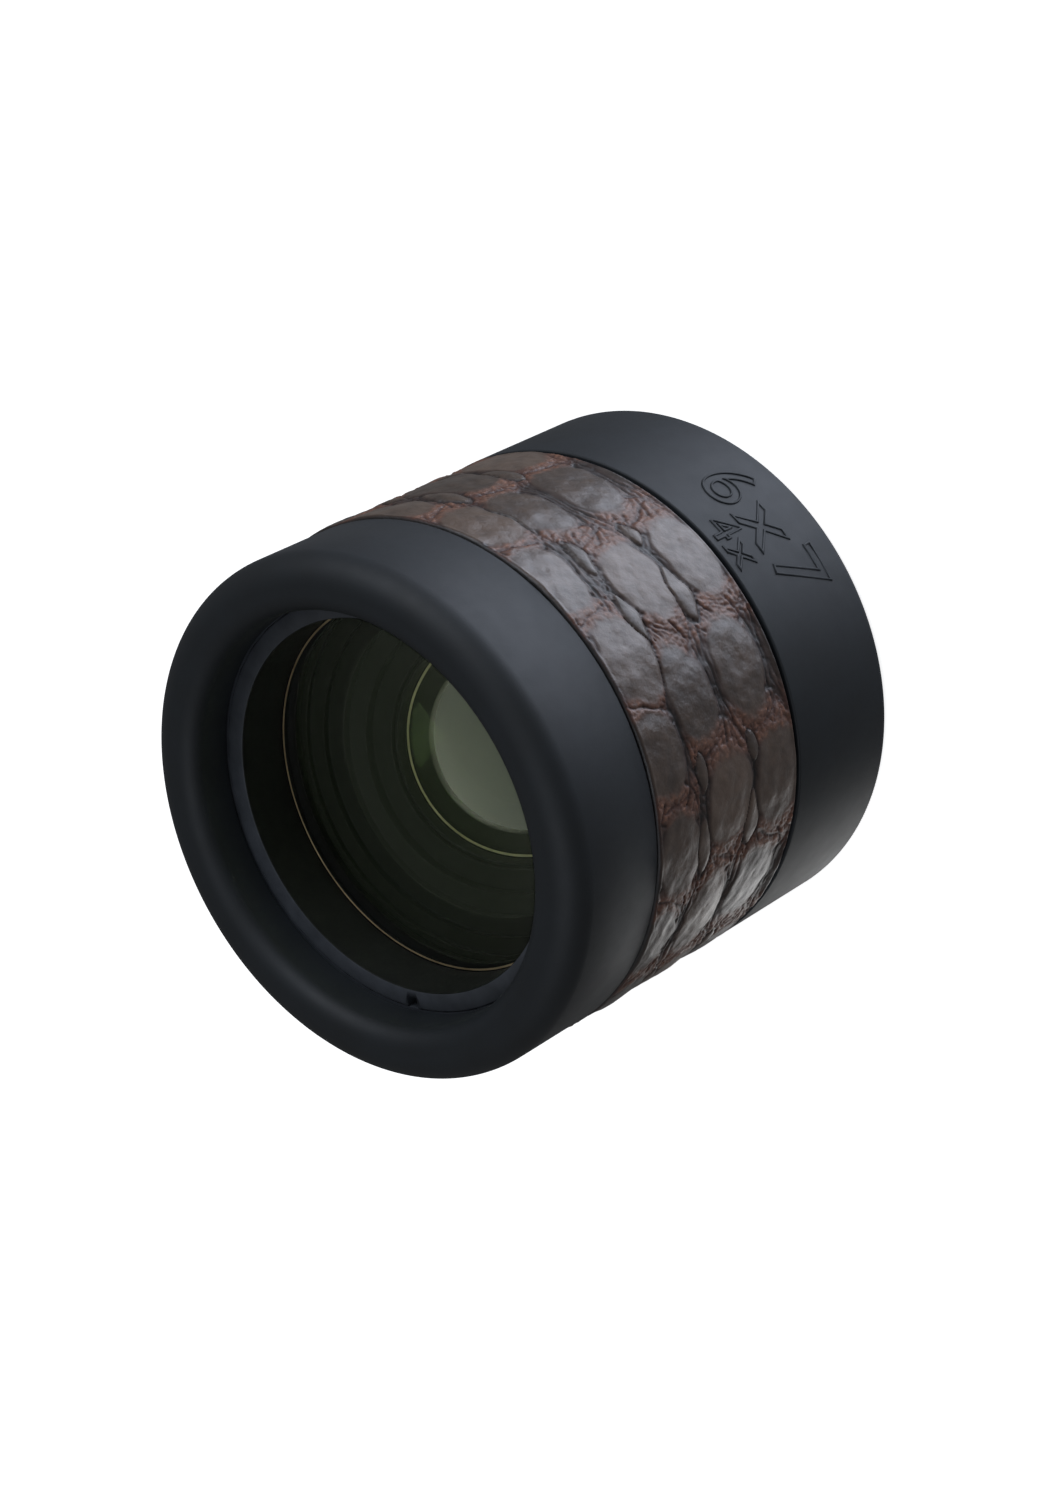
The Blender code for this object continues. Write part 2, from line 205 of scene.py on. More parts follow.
def turned_aluminium():
    """Bare aluminium off the lathe: bright, with fine rings round the axis."""
    material, tree, shader = worked_material("turned_aluminium", {"Metallic": 1.0}, ("#a9abad", "#bfc1c2"),
                                             4.0, (0.25, 0.4), 1.0)
    place = add_node(tree, "ShaderNodeTexCoord")
    # real feed marks lie about 0.15 mm apart and are drawn coarser here, so that they show;
    # a wave texture turns through 20 radians per unit of length at scale 1
    feed_pitch = 0.9425
    feed = add_node(tree, "ShaderNodeTexWave", {
        "Vector": place.outputs["Object"], "Scale": math.tau / (20 * feed_pitch * MM), "Distortion": 0.4,
    }, bands_direction='Z')
    grooves = add_node(tree, "ShaderNodeBump", {
        "Height": feed.outputs["Fac"], "Distance": 0.005 * MM, "Strength": 0.4,
    })
    tree.links.new(grooves.outputs["Normal"], shader.inputs["Normal"])
    return material


def machined_steel():
    """Small steel screws and the spring clip: smooth, slightly blue-grey."""
    return worked_material("machined_steel", {"Metallic": 1.0}, ("#8b8f94", "#a2a6aa"), 1.0,
                           (0.22, 0.36), 0.3)[0]


def turned_brass():
    """Brass cam followers, polished by running in their slots."""
    return worked_material("turned_brass", {"Metallic": 1.0}, ("#b08d45", "#c9a75c"), 0.8,
                           (0.2, 0.34), 0.3)[0]


def ptfe():
    """White low-friction washer: waxy and slightly translucent."""
    return worked_material("skived_ptfe", {"IOR": 1.35, "Subsurface Weight": 0.1}, ("#d8d6cf", "#e6e4de"),
                           2.0, (0.45, 0.6), 0.5)[0]


def moulded_nylon():
    """Black glass-filled nylon foot: satin with a fine sparkle of grain."""
    return worked_material("moulded_black_nylon", {"IOR": 1.53}, ("#16171a", "#1e2023"), 2.0,
                           (0.4, 0.58), 0.5, (0.2, 0.015, 0.4))[0]


def seal_rubber():
    """Nitrile O-ring: black with a faint oily shine."""
    return worked_material("nitrile_rubber", {"IOR": 1.52}, ("#0e0e0f", "#171718"), 1.0, (0.3, 0.42), 0.4)[0]


def let_lamps_through(material, tree, shader, tint):
    """Lamps reach what is behind the glass."""
    path = add_node(tree, "ShaderNodeLightPath")
    clear = add_node(tree, "ShaderNodeBsdfTransparent", {"Color": srgb(tint)})
    mix = add_node(tree, "ShaderNodeMixShader", {
        0: path.outputs["Is Shadow Ray"], 1: shader.outputs["BSDF"], 2: clear.outputs["BSDF"],
    })
    tree.links.new(mix.outputs["Shader"], tree.nodes["Material Output"].inputs["Surface"])
    return material


def coated_glass(name, tint, reflection, level, haze=0.0):
    """Polished optical glass; its anti-reflection coating leaves a weak tinted reflection."""
    material, tree, shader = new_material(name, {
        "Base Color": srgb(tint), "Roughness": haze, "IOR": 1.52, "Transmission Weight": 1.0,
        "Specular IOR Level": level, "Specular Tint": srgb(reflection),
    })
    return let_lamps_through(material, tree, shader, tint)


def ground_glass_edge(name, tones):
    """Ground chamfer of a lens: frosted, so it catches light as a thin pale line."""
    return worked_material(name, {"IOR": 1.52, "Transmission Weight": 0.3}, tones, 6.0, (0.35, 0.55), 0.3)[0]


def crocodile_leather():
    """Glazed crocodile: grey-brown polished plates, red-brown wrinkled skin in the creases, darkened there by
    painted shade.
    """
    material, tree, shader = new_material("glazed_crocodile_leather", {
        "IOR": 1.5, "Coat Weight": 0.35, "Coat Roughness": 0.34, "Coat IOR": 1.5,
    })
    plate, crease, ends, tone = (
        add_node(tree, "ShaderNodeAttribute", attribute_name=name).outputs["Fac"]
        for name in ("plate", "crease", "ends", "tone")
    )
    place = add_node(tree, "ShaderNodeTexCoord").outputs["Object"]
    # lump size in millimetres and detail: clouded dye, patches of skin, rubbed streaks, pores
    mottle, blotches, streaks, pores = (
        add_node(tree, "ShaderNodeTexNoise", {
            "Vector": place, "Scale": 1 / (size * MM), "Detail": detail, "Roughness": 0.65,
        }).outputs["Fac"]
        for size, detail in ((2.2, 6.0), (1.2, 5.0), (0.7, 5.0), (0.6, 8.0))
    )
    blend = add_node(tree, "ShaderNodeMix", {"Factor": 0.55, "A": tone, "B": mottle}, data_type='FLOAT')
    plates = add_node(tree, "ShaderNodeValToRGB", {"Fac": blend.outputs["Result"]},
                      stops=[(0.25, "#261e1a"), (0.75, "#5e4e43"), (0.5, "#40352e")])
    skin = add_node(tree, "ShaderNodeValToRGB", {"Fac": blotches},
                    stops=[(0.3, "#3a2c27"), (0.8, "#5e463c"), (0.55, "#4a3a33")])
    rust = add_node(tree, "ShaderNodeValToRGB", {"Fac": streaks},
                    stops=[(0.3, "#54392d"), (0.8, "#a87558"), (0.55, "#74503f")])
    gap = add_node(tree, "ShaderNodeMix", {
        "Factor": ends, "A": skin.outputs["Color"], "B": rust.outputs["Color"],
    }, data_type='RGBA')
    worn = add_node(tree, "ShaderNodeMix", {
        "Factor": plate, "A": gap.outputs["Result"], "B": plates.outputs["Color"],
    }, data_type='RGBA')
    # painted shade: the crease attribute darkens the colour in the creases, folds, wrinkle nets and along the
    # cut edges
    shade = add_node(tree, "ShaderNodeValToRGB", {"Fac": crease},
                     stops=[(0.0, "#ffffff"), (1.0, "#2c1e19"), (0.5, "#957a6e")])
    colour = add_node(tree, "ShaderNodeMix", {
        "Factor": 1.0, "A": worn.outputs["Result"], "B": shade.outputs["Color"],
    }, data_type='RGBA', blend_type='MULTIPLY')
    tree.links.new(colour.outputs["Result"], shader.inputs["Base Color"])
    gloss = add_node(tree, "ShaderNodeMath", {0: mottle, 1: plate}, operation='MULTIPLY')
    rough = add_node(tree, "ShaderNodeMapRange", {
        "Value": gloss.outputs["Value"], "To Min": 0.60, "To Max": 0.27,
    })
    tree.links.new(rough.outputs["Result"], shader.inputs["Roughness"])
    uneven = add_node(tree, "ShaderNodeBump", {"Height": mottle, "Distance": 0.35 * MM, "Strength": 0.6})
    grained = add_node(tree, "ShaderNodeBump", {
        "Height": pores, "Distance": 0.08 * MM, "Strength": 0.4, "Normal": uneven.outputs["Normal"],
    })
    tree.links.new(grained.outputs["Normal"], shader.inputs["Normal"])
    return material


# ---- mesh helpers ---------------------------------------------------------------------
def around(radius, azimuth, z):
    """Point on a circle about the optical axis, azimuth in degrees."""
    angle = math.radians(azimuth)
    return (radius * math.cos(angle), radius * math.sin(angle), z)


def arc(centre_r, centre_z, radius, start, end, steps):
    """Points of a round stretch of an outline, angles in degrees from outward."""
    points = []
    for i in range(steps + 1):
        angle = math.radians(start + (end - start) * i / steps)
        points.append((centre_r + radius * math.cos(angle), centre_z + radius * math.sin(angle)))
    return points


def eased(outline, radius, steps=3):
    """Round every corner of a closed outline."""
    points = []
    count = len(outline)
    for i in range(count):
        corner = Vector(outline[i])
        before = Vector(outline[i - 1]) - corner
        after = Vector(outline[(i + 1) % count]) - corner
        reach = min(radius, before.length * 0.4, after.length * 0.4)
        start = corner + before.normalized() * reach
        end = corner + after.normalized() * reach
        for k in range(steps + 1):
            t = k / steps
            bend = start.lerp(corner, t).lerp(corner.lerp(end, t), t)
            points.append((bend.x, bend.y))
    return points


def cad_outline(node):
    """Outline of a turned CAD node: the edges that lie in the half plane through +X."""
    mesh = frame["nodes"][node].data
    in_plane = {}
    for vertex in mesh.vertices:
        x, y, z = vertex.co / MM
        if abs(y) < 0.002 and x >= -0.002:
            in_plane[vertex.index] = (round(x, 2), round(z, 2))
    links = {}
    for edge in mesh.edges:
        a, b = (in_plane.get(i) for i in edge.vertices)
        if a and b and a != b:
            links.setdefault(a, set()).add(b)
            links.setdefault(b, set()).add(a)
    start = min(links)
    outline, last, here = [start], None, start
    while True:
        onward = [p for p in links[here] if p != last]
        last, here = here, min(onward, key=lambda p: math.dist(p, here))
        if here == start:
            return outline
        outline.append(here)


def mesh_object(name, bm, material, sharp=40.0):
    """Object in metres from a bmesh in millimetres."""
    bmesh.ops.recalc_face_normals(bm, faces=bm.faces)
    bmesh.ops.scale(bm, vec=(MM, MM, MM), verts=bm.verts)
    mesh = bpy.data.meshes.new(name)
    bm.to_mesh(mesh)
    bm.free()
    mesh.shade_smooth()
    mesh.set_sharp_from_angle(angle=math.radians(sharp))
    mesh.materials.append(material)
    made = bpy.data.objects.new(name, mesh)
    scene.collection.objects.link(made)
    return made


def spin(bm, outline, sides, closed=True, band_material=None):
    """Spin an outline of (radius, height) about Z; points on the axis become poles."""
    rows = []
    for r, z in outline:
        if r < 1e-6:
            rows.append([bm.verts.new((0.0, 0.0, z))] * sides)
        else:
            rows.append([bm.verts.new(around(r, 360 * k / sides, z)) for k in range(sides)])
    pairs = list(zip(rows, rows[1:] + rows[:1])) if closed else list(zip(rows, rows[1:]))
    for i, (low, high) in enumerate(pairs):
        for k in range(sides):
            after = (k + 1) % sides
            corners = []
            for corner in (low[k], low[after], high[after], high[k]):
                if corner not in corners:
                    corners.append(corner)
            face = bm.faces.new(corners)
            if band_material:
                face.material_index = band_material(i)


def turned(name, outline, material, sides=ROUND_SIDES):
    """Object spun from a closed outline of (radius, height)."""
    bm = bmesh.new()
    spin(bm, outline, sides)
    return mesh_object(name, bm, material)


def stands_for(piece, *nodes):
    """The piece rides with and replaces these CAD nodes."""
    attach(piece, BODY_OF[nodes[0]])
    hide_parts(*nodes)
    return piece


def restyle(material, *nodes):
    """Give CAD nodes that keep their shape a better material."""
    for node in nodes:
        mesh = frame["nodes"][node].data
        mesh.materials.clear()
        mesh.materials.append(material)


# ---- crocodile wrap -------------------------------------------------------------------
PLATE_ROWS = (           # height of the row, plates around the barrel, first plate in pitches, sway
    (-4.6, 14, 0.70, 1.5), (5.5, 14, 0.72, 1.4), (15.3, 14, 0.70, 1.6), (25.1, 17, 0.71, -0.9),
)
PLATE_HALF_WIDTH = 7.1
PLATE_HALF_HEIGHT = 4.3
PLATE_GAP = 0.4          # least gap between the ends of two plates
SMALL_SCALES = (         # shift in pitches, drop, half width, half height
    (-0.29, 0.0, 3.9, 1.4), (0.33, 0.5, 2.4, 1.0),
)
SMALL_SQUARENESS = 1.5
LEAST_PLATE = 2.0        # half height that only a plate exceeds
FOLDS = (                # reach in half widths, reach in half heights, strength
    (1.6, 1.12, 1.0), (2.1, 1.3, 0.6),
)
PLATE_CROWN = 0.22       # how far a plate falls away from its middle to its rim
FOLD_CUT = 0.28
NET_CUT = 0.10           # fine wrinkles
WIDE_NET_CUT = 0.05
PORE_CUT = 0.06          # one sunken pore in each plate
PORE_R = 0.3
DEEPEST = 0.75           # the relief never cuts deeper than this
EDGE_ROLL = 0.8          # the relief fades out over this width along every cut edge
EDGE_DROP = 0.45         # and the edge itself is turned down
GLUE_LINE = 0.05         # glue between the leather and the sleeve
TOP_CLEARANCE = 0.03     # the plate tops stay this far inside the outer radius
SEAM_GAP = 0.3
SEAM_AZIMUTH = 90.0      # butt seam at the back
WRAP_CELL = 0.18         # mesh cell


def ripples(u, v, wavelength, seed):
    """Smooth random field between about -1 and 1, built from a few plane waves."""
    rng = np.random.default_rng(seed)
    total = np.zeros_like(u)
    waves = 7
    for _ in range(waves):
        heading = rng.uniform(0, math.pi)
        number = math.tau / wavelength * rng.uniform(0.6, 1.4)
        phase = rng.uniform(0, math.tau)
        total += np.sin(number * (u * math.cos(heading) + v * math.sin(heading)) + phase)
    return total / math.sqrt(waves) * 0.8


def smooth_step(low, high, value):
    """0 below low, 1 above high, with a smooth ramp between."""
    t = np.clip((value - low) / (high - low), 0.0, 1.0)
    return t * t * (3 - 2 * t)


def crocodile_plates(length):
    """Centre, half sizes, squareness and tone of every plate on a strip of skin."""
    rng = np.random.default_rng(11)
    plates = []
    for row, (height, count, first, sway) in enumerate(PLATE_ROWS):
        pitch = length / count
        narrow = min(1.0, pitch / (2 * PLATE_HALF_WIDTH + PLATE_GAP))
        for column in range(-1, count + 1):
            low = column % 2
            u = (column + first) * pitch + rng.uniform(-0.6, 0.6)
            v = height + sway * (1 - 2 * low) + rng.uniform(-0.4, 0.4)
            half_u = PLATE_HALF_WIDTH * narrow * rng.uniform(0.93, 1.04)
            half_v = PLATE_HALF_HEIGHT * rng.uniform(0.92, 1.04)
            plates.append((u, v, half_u, half_v, rng.uniform(1.8, 2.1), rng.uniform(0, 1)))
            # small folded scales fill the spaces that the low plates leave above them
            if low and 0 < row < 3:
                above = v + half_v + rng.uniform(0.9, 1.3)
                for shift, drop, small_u, small_v in SMALL_SCALES:
                    plates.append((u + shift * pitch, above - drop, small_u, small_v, SMALL_SQUARENESS,
                                   rng.uniform(0.4, 1)))
    return plates


def cell_cracks(u, v, size_u, size_v, seed):
    """1 on the borders of small irregular cells, 0 inside them."""
    rng = np.random.default_rng(seed)
    columns = int(u.max() / size_u) + 3
    rows = int(v.max() / size_v) + 3
    shift = rng.uniform(-0.42, 0.42, (columns + 2, rows + 2, 2))
    gu, gv = u / size_u, v / size_v
    iu, iv = np.floor(gu).astype(int), np.floor(gv).astype(int)
    best = np.full_like(u, 9.0)
    runner_up = np.full_like(u, 9.0)
    for du in (-1, 0, 1):
        for dv in (-1, 0, 1):
            cu, cv = iu + du, iv + dv
            offset = shift[np.clip(cu + 1, 0, columns + 1), np.clip(cv + 1, 0, rows + 1)]
            reach = np.hypot(gu - cu - 0.5 - offset[..., 0], gv - cv - 0.5 - offset[..., 1])
            closer = reach < best
            runner_up = np.where(closer, best, np.minimum(runner_up, reach))
            best = np.where(closer, reach, best)
    return np.exp(-((runner_up - best) / 0.13) ** 2)


def crocodile_relief(u, v, length):
    """Depth below the plate tops, plate mask, painted crease shade, wrinkle mask and tone at each point."""
    bend_u = u + ripples(u, v, 12.0, 1) * 0.7 + ripples(u, v, 3.5, 2) * 0.18
    bend_v = v + ripples(u, v, 14.0, 3) * 0.5 + ripples(u, v, 5.0, 4) * 0.18
    nearest = np.full_like(u, 9.0)
    second = np.full_like(u, 9.0)
    sideways = np.zeros_like(u)
    tone = np.zeros_like(u)
    pit = np.zeros_like(u)
    fold = np.zeros_like(u)
    for cu, cv, half_u, half_v, square, plate_tone in crocodile_plates(length):
        du = np.abs(bend_u - cu) / half_u
        dv = np.abs(bend_v - cv) / half_v
        reach = (du ** square + dv ** square) ** (1 / square)
        closer = reach < nearest
        is_plate = half_v > LEAST_PLATE
        second = np.where(closer, nearest, np.minimum(second, reach))
        tone = np.where(closer, plate_tone, tone)
        sideways = np.where(closer, du * is_plate, sideways)
        nearest = np.where(closer, reach, nearest)
        # each long edge runs on past the end of its plate as a fold, with a fainter one beside it
        for run_u, run_v, strength in FOLDS:
            run_on = np.sqrt((du / run_u) ** 2 + (dv / run_v) ** 2)
            fold = np.maximum(fold, strength * np.exp(-((run_on - 1.0) / 0.045) ** 2))
        pore = np.hypot(u - cu - half_u * 0.25, v - cv + half_v * 0.1)
        pit += np.exp(-(pore / PORE_R) ** 2) * is_plate
    # the plates run out flush into wrinkled skin at their ends, and stop at a fold along their sides
    ends = smooth_step(0.5, 0.9, sideways)
    plate = 1 - smooth_step(0.88 - 0.26 * ends, 1.08, nearest + 0.06 * ripples(u, v, 2.2, 15) * ends)
    between = smooth_step(0.94, 1.08, nearest)
    # creases run along the gaps and draw together where two plates almost touch
    gap = np.maximum(nearest + second - 2.0, 0.05)
    across_gap = np.clip((nearest - 1.0) / gap, -0.5, 0.5) + ripples(u, v, 4.5, 5) * 0.06
    sharpness = np.clip(0.05 / gap, 0.05, 0.20)
    middle = np.exp(-((across_gap - 0.5) / sharpness) ** 2)
    flank = np.exp(-((across_gap - 0.22) / sharpness) ** 2) * (gap > 0.16)
    outline = np.exp(-((nearest - 1.02) / 0.045) ** 2)
    middle = middle * between * (0.75 + 0.25 * ripples(u, v, 6.0, 9))
    flank = flank * between * (0.6 + 0.4 * ripples(u, v, 5.0, 10))
    outline = outline * (0.65 + 0.35 * ripples(u, v, 7.0, 12)) * (1 - 0.8 * ends)
    fold = fold * between * (0.85 + 0.15 * ripples(u, v, 8.0, 13))
    # where two scales overlap, the upper one ends in a sharp line
    lapped = np.exp(-((second - nearest) / 0.07) ** 2) * (1 - smooth_step(1.0, 1.12, second))
    # fine net of wrinkles where the ends of two plates meet
    ends = ends * (1 - plate)
    net = cell_cracks(bend_u, bend_v, 0.9, 1.5, 5) * ends
    wide_net = cell_cracks(bend_u, bend_v, 3.0, 1.1, 6) * between
    swell = PLATE_CROWN * np.clip(nearest, 0, 1.1) ** 2.4 * (1 - 0.6 * ends)
    wave = 0.07 * (ripples(u, v, 4.5, 6) + 1) + 0.022 * (ripples(u, v, 1.9, 8) + 1)
    depth = swell + wave + PORE_CUT * pit * plate
    crease = np.maximum.reduce([middle, 0.5 * flank, 0.55 * outline, fold, lapped])
    depth += FOLD_CUT * crease + NET_CUT * net + WIDE_NET_CUT * wide_net
    # painted shade: the colour darkens along the creases, folds and wrinkle nets, on top of the shade their
    # cut relief casts
    painted_shade = np.clip(crease * (1 - 0.35 * ends) + 0.3 * wide_net * (1 - ends) + 0.18 * net, 0, 1)
    return np.clip(depth, 0, DEEPEST), plate, painted_shade, np.clip(ends + 0.2 * net, 0, 1), tone


def crocodile_wrap():
    """C-shaped band of leather with its relief in the mesh and a butt seam at the back."""
    length = math.tau * LEATHER_R
    width = LEATHER_HIGH - LEATHER_LOW
    across = round(length / WRAP_CELL)
    along = round(width / WRAP_CELL)
    s = np.linspace(SEAM_GAP / 2, length - SEAM_GAP / 2, across + 1)
    t = np.linspace(0.0, width, along + 1)
    v, u = np.meshgrid(t, s)
    depth, plate, painted_shade, ends, tone = crocodile_relief(u, v, length)
    edge = np.minimum(np.minimum(v, width - v), np.minimum(u, length - u))
    depth = depth * smooth_step(0.0, EDGE_ROLL, edge) + EDGE_DROP * (1 - smooth_step(0.0, 0.55, edge)) ** 2
    # painted shade: the colour also darkens along the turned-down cut edges of the band
    painted_shade = np.maximum(painted_shade, 1 - smooth_step(0.0, 0.4, edge))
    angle = math.radians(SEAM_AZIMUTH) + u / LEATHER_R
    inner_r = SLEEVE_R + GLUE_LINE
    bm = bmesh.new()
    fields = {"plate": plate, "crease": painted_shade, "ends": ends, "tone": tone}
    layers = {name: bm.verts.layers.float.new(name) for name in fields}
    outer, inner = [], []
    for i in range(across + 1):
        column = []
        for j in range(along + 1):
            r = LEATHER_R - TOP_CLEARANCE - depth[i, j]
            vert = bm.verts.new((r * math.cos(angle[i, j]), r * math.sin(angle[i, j]), LEATHER_LOW + v[i, j]))
            for name, field in fields.items():
                vert[layers[name]] = field[i, j]
            column.append(vert)
        outer.append(column)
        back = []
        for z in (LEATHER_LOW, LEATHER_HIGH):
            vert = bm.verts.new((inner_r * math.cos(angle[i, 0]), inner_r * math.sin(angle[i, 0]), z))
            vert[layers["crease"]] = 1.0
            back.append(vert)
        inner.append(back)
    for i in range(across):
        for j in range(along):
            bm.faces.new((outer[i][j], outer[i + 1][j], outer[i + 1][j + 1], outer[i][j + 1]))
        bm.faces.new((inner[i][0], inner[i + 1][0], outer[i + 1][0], outer[i][0]))
        bm.faces.new((outer[i][-1], outer[i + 1][-1], inner[i + 1][1], inner[i][1]))
        bm.faces.new((inner[i][1], inner[i + 1][1], inner[i + 1][0], inner[i][0]))
    for i in (0, -1):
        bm.faces.new([inner[i][0], *outer[i], inner[i][1]])
    wrap = mesh_object("crocodile_wrap", bm, crocodile_leather(), 70.0)
    stands_for(wrap, "leather_wrap")


# ---- rubber pieces --------------------------------------------------------------------
FIT = 0.1                # clearance between a moulding and the metal under it
LIP_OUTER_FILLET = 3.7
LIP_INNER_FILLET = 2.5
CUP_BORE_R = 27.3


def eyecup(rubber):
    """Focusing grip with a full rounded lip."""
    over_cell = CELL_HIGH + 0.25
    round_cell = CELL_R + 0.3
    outline = [(CORE_R + FIT, CUP_LOW), (CUP_R - 0.15, CUP_LOW), (CUP_R, CUP_LOW + 0.2)]
    outline += arc(CUP_R - LIP_OUTER_FILLET, CUP_HIGH - LIP_OUTER_FILLET, LIP_OUTER_FILLET, 0, 90, 20)
    outline += arc(CUP_BORE_R + LIP_INNER_FILLET, CUP_HIGH - LIP_INNER_FILLET, LIP_INNER_FILLET, 90, 180, 16)
    outline += [
        (CUP_BORE_R, over_cell + 0.2), (CUP_BORE_R + 0.2, over_cell), (round_cell, over_cell),
        (round_cell, CORE_HIGH + FIT), (CORE_R + FIT, CORE_HIGH + FIT),
    ]
    stands_for(turned("rubber_eyecup", outline, rubber), "eyecup")


def base_cover(rubber):
    """Rubber band of the base, rounded under at the foot."""
    fillet, rim_break = 1.2, 0.25
    wall_in = levels("base_ring")[0] + FIT
    outline = [(wall_in, COVER_HIGH), (wall_in, COVER_LOW + 0.1)]
    outline += arc(COVER_R - fillet, COVER_LOW + fillet, fillet, -80, 0, 12)
    outline += arc(COVER_R - rim_break, COVER_HIGH - rim_break, rim_break, 0, 90, 5)
    stands_for(turned("rubber_base_band", outline, rubber), "base_cover")


MARK_AZIMUTH = -74.4     # middle of the mark
MARK_LINE = 0.17         # half width of the raised line
MARK_LIFT = 0.02         # the middle of the line stands this far proud of the band
MARK_ROWS = (            # words, size of the figures, middle of the row below the top of the band
    ("6x7", 12.4, 10.4), ("4x", 7.0, 3.4),
)


def raised_mark(rubber):
    """Generic film size and magnification, drawn in raised lines that wrap round the band."""
    for index, (words, size, below_top) in enumerate(MARK_ROWS):
        curve = bpy.data.curves.new("mark", 'FONT')
        curve.body = words
        curve.align_x = 'CENTER'
        curve.align_y = 'CENTER'
        curve.size = size
        curve.space_character = 1.15
        curve.fill_mode = 'NONE'
        curve.bevel_depth = MARK_LINE
        curve.bevel_resolution = 2
        text = bpy.data.objects.new("mark", curve)
        scene.collection.objects.link(text)
        bpy.context.view_layer.update()
        flat = bpy.data.meshes.new_from_object(text.evaluated_get(bpy.context.evaluated_depsgraph_get()))
        bpy.data.objects.remove(text)
        bm = bmesh.new()
        bm.from_mesh(flat)
        bpy.data.meshes.remove(flat)
        middle = COVER_HIGH - below_top
        for vert in bm.verts:
            # the tops of the figures point to the foot
            x, y, z = -vert.co.x, -vert.co.y, vert.co.z
            azimuth = MARK_AZIMUTH + math.degrees(x / COVER_R)
            vert.co = around(COVER_R + z + MARK_LIFT, azimuth, middle + y)
        piece = mesh_object(f"raised_mark_{index + 1}", bm, rubber, 60.0)
        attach(piece, "base")


# ---- eye ring and glass ---------------------------------------------------------------
RING_BORE = 24.7
NOTCH_AZIMUTH = 150.0
NOTCH_WIDTH = 1.6
NOTCH_DEPTH = 1.3
NOTCH_INNER_R = 25.7
NOTCH_RUN_OUT = 3.0      # length of the cutter, which runs out past the edge of the ring
EYE_CLEAR_R = 24.35
MIDDLE_LENS_R = 13.2
MIDDLE_CLEAR_R = 12.6
FIELD_CLEAR_R = 25.4


def eye_ring(metal, paint):
    """Threaded ring over the eye lens with two spanner notches in its outer edge; its bore gets the darker
    matt black as painted shade under the lip.
    """
    outline = eased([(RING_BORE, RING_LOW), (RING_R, RING_LOW), (RING_R, RING_HIGH), (RING_BORE, RING_HIGH)],
                    0.2)
    ring = turned("eye_ring", outline, metal)
    for i in range(2):
        bm = bmesh.new()
        bmesh.ops.create_cube(bm, size=1.0)
        bmesh.ops.scale(bm, vec=(NOTCH_RUN_OUT, NOTCH_WIDTH, 2 * NOTCH_DEPTH), verts=bm.verts)
        bmesh.ops.translate(bm, vec=(NOTCH_INNER_R + NOTCH_RUN_OUT / 2, 0.0, RING_HIGH), verts=bm.verts)
        bmesh.ops.rotate(bm, cent=(0, 0, 0), verts=bm.verts,
                         matrix=Matrix.Rotation(math.radians(NOTCH_AZIMUTH + 180 * i), 3, 'Z'))
        cutter = mesh_object("notch_cutter", bm, metal)
        modifier = ring.modifiers.new("notch", 'BOOLEAN')
        modifier.object = cutter
        modifier.solver = 'EXACT'
        bpy.context.view_layer.update()
        cut = bpy.data.meshes.new_from_object(ring.evaluated_get(bpy.context.evaluated_depsgraph_get()))
        ring.modifiers.remove(modifier)
        ring.data = cut
        bpy.data.objects.remove(cutter)
    # painted shade: the faces of the bore take the darker matt black, standing in for the shadow under the
    # lip
    ring.data.materials.append(paint)
    for face in ring.data.polygons:
        if math.hypot(face.center.x, face.center.y) < (RING_BORE + 0.1) * MM:
            face.material_index = 1
    stands_for(ring, "eye_retaining_ring")


def lens_face(vertex_z, curve_r, edge_r, steps=24):
    """Points from the axis to the edge of a polished face; a positive curve_r bulges upwards."""
    points = []
    for i in range(steps + 1):
        r = edge_r * i / steps
        sag = abs(curve_r) - math.sqrt(curve_r ** 2 - r ** 2)
        points.append((r, vertex_z - math.copysign(sag, curve_r)))
    return points


def lens(name, top, bottom, edge_r, clear_r, glass, land_finish, edge_finish, *nodes):
    """Lens with polished faces out to clear_r and a narrow flat land round the front one.

    top and bottom give each face as (height of its middle, radius of curvature).
    """
    upper = lens_face(*top, clear_r)
    lower = lens_face(*bottom, clear_r)
    land_width, break_edge = 0.25, 0.1
    rim = [(clear_r + land_width, upper[-1][1]), (edge_r, upper[-1][1] - break_edge),
           (edge_r, lower[-1][1] + break_edge)]
    outline = upper + rim + lower[::-1]
    land = len(upper) - 1
    edge_bands = range(land + 1, land + len(rim) + 1)

    def coat(band):
        if band == land:
            return 1
        return 2 if band in edge_bands else 0

    bm = bmesh.new()
    spin(bm, outline, FINE_SIDES, closed=False, band_material=coat)
    made = mesh_object(name, bm, glass, 20.0)
    made.data.materials.append(land_finish)
    made.data.materials.append(edge_finish)
    stands_for(made, *nodes)


